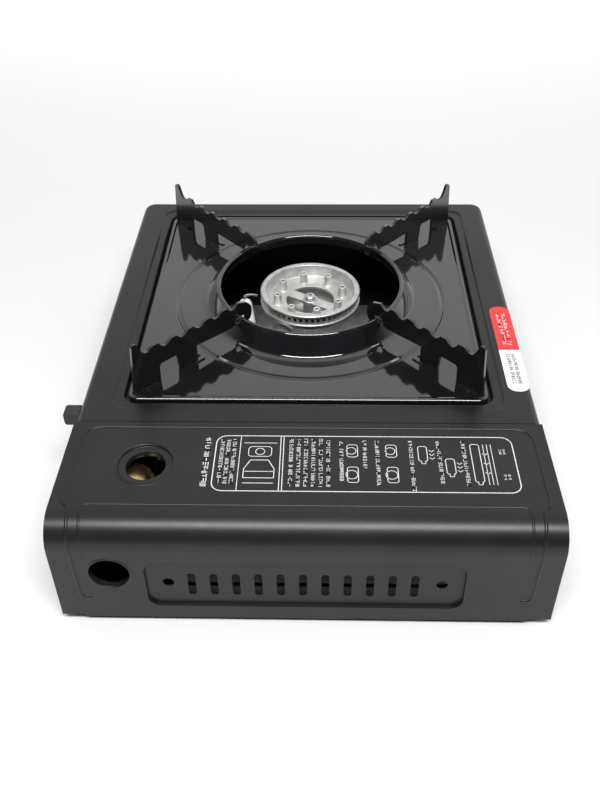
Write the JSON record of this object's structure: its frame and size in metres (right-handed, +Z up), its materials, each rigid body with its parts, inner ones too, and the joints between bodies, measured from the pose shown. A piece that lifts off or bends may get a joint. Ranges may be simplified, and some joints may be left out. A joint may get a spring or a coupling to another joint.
{
  "type": "camping stove",
  "caption": "Flat portable gas camping stove: steel casing, drip pan with wind collar, toothed pot supports, ring burner, hinged cartridge lid, control knob and lock lever.",
  "frame": {"origin": "middle of the stove's whole footprint, on the surface that it stands on; the footprint includes the lock lever's tab", "axes": "+X from the burner side towards the cartridge lid's outer face, -Y towards the front with the knob and the lock lever, +Z up"},
  "size_m": [0.3588, 0.288, 0.1087],
  "materials": {
    "powder_black": "satin powder coat",
    "enamel_black": "gloss enamel",
    "galvanised": "galvanised sheet",
    "cast_aluminium": "die cast, tumbled",
    "bright_steel": "bright plated",
    "yellow_zinc": "yellow passivated zinc",
    "brass": "turned",
    "ceramic": "glazed ceramic",
    "black_plastic": "moulded, fine texture",
    "black_rubber": "matte",
    "red_plastic": "cable sleeve",
    "white_print": "screen print",
    "sticker_red": "coated label",
    "sticker_white": "coated label"
  },
  "bodies": {
    "casing": {"main_housing": "powder_black", "base_tray": "powder_black", "foot_front_left": "black_rubber", "foot_rear_left": "black_rubber", "foot_front_right": "black_rubber", "foot_rear_right": "black_rubber", "bay_partition": "galvanised", "can_tray": "galvanised", "hinge_pin_front": "bright_steel", "hinge_pin_rear": "bright_steel", "lever_bracket": "galvanised", "lever_spring": "bright_steel", "control_panel": "black_plastic", "panel_screw_left": "bright_steel", "panel_screw_right": "bright_steel", "regulator_body": "cast_aluminium", "regulator_cover": "yellow_zinc", "regulator_bracket": "galvanised", "seat_cup": "yellow_zinc", "seat_seal": "black_rubber", "gas_pipe": "brass", "gas_jet": "brass", "piezo_igniter": "black_plastic", "burner_base": "cast_aluminium", "port_ring": "bright_steel", "burner_cap": "cast_aluminium", "burner_screw": "bright_steel", "burner_bracket": "galvanised", "bracket_screw_front": "bright_steel", "bracket_screw_rear": "bright_steel", "heat_reflector": "galvanised", "tube_support": "galvanised", "electrode_insulator": "ceramic", "electrode_wire": "bright_steel", "electrode_clip": "galvanised", "ignition_lead": "red_plastic"},
    "lid": {"cartridge_lid": "powder_black"},
    "knob": {"control_knob": "black_plastic", "valve_spindle": "brass"},
    "lever": {"lock_lever": "galvanised", "lever_tab": "black_plastic", "lock_shaft": "bright_steel", "lock_crank": "galvanised"},
    "carriage": {"can_carriage": "galvanised"},
    "pan": {"drip_pan": "enamel_black", "pan_support_front_right": "enamel_black", "pan_support_rear_right": "enamel_black", "pan_support_rear_left": "enamel_black", "pan_support_front_left": "enamel_black"}
  },
  "joints": [
    {"name": "lid_hinge", "type": "hinge", "parent": "casing", "child": "lid", "pos_m": [0.175, 0, 0.009], "axis": [0, 1, 0], "range_deg": [0, 90]},
    {"name": "knob_turn", "type": "hinge", "parent": "casing", "child": "knob", "pos_m": [0.13067, -0.12, 0.0406], "axis": [0, -1, 0], "range_deg": [0, 90]},
    {"name": "lock_lever_turn", "type": "hinge", "parent": "casing", "child": "lever", "pos_m": [0.0725, -0.1015, 0.045], "axis": [1, 0, 0], "range_deg": [0, 28]},
    {"name": "carriage_slide", "type": "slide", "parent": "casing", "child": "carriage", "axis": [0, -1, 0], "range_m": [0, 0.0068]},
    {"name": "pan_lift", "type": "slide", "parent": "casing", "child": "pan", "axis": [0, 0, 1], "range_m": [0, 0.06]}
  ],
  "couplings": [
    {"joint": "carriage_slide", "follows": "lock_lever_turn", "m_per_rad": 0.01386}
  ]
}
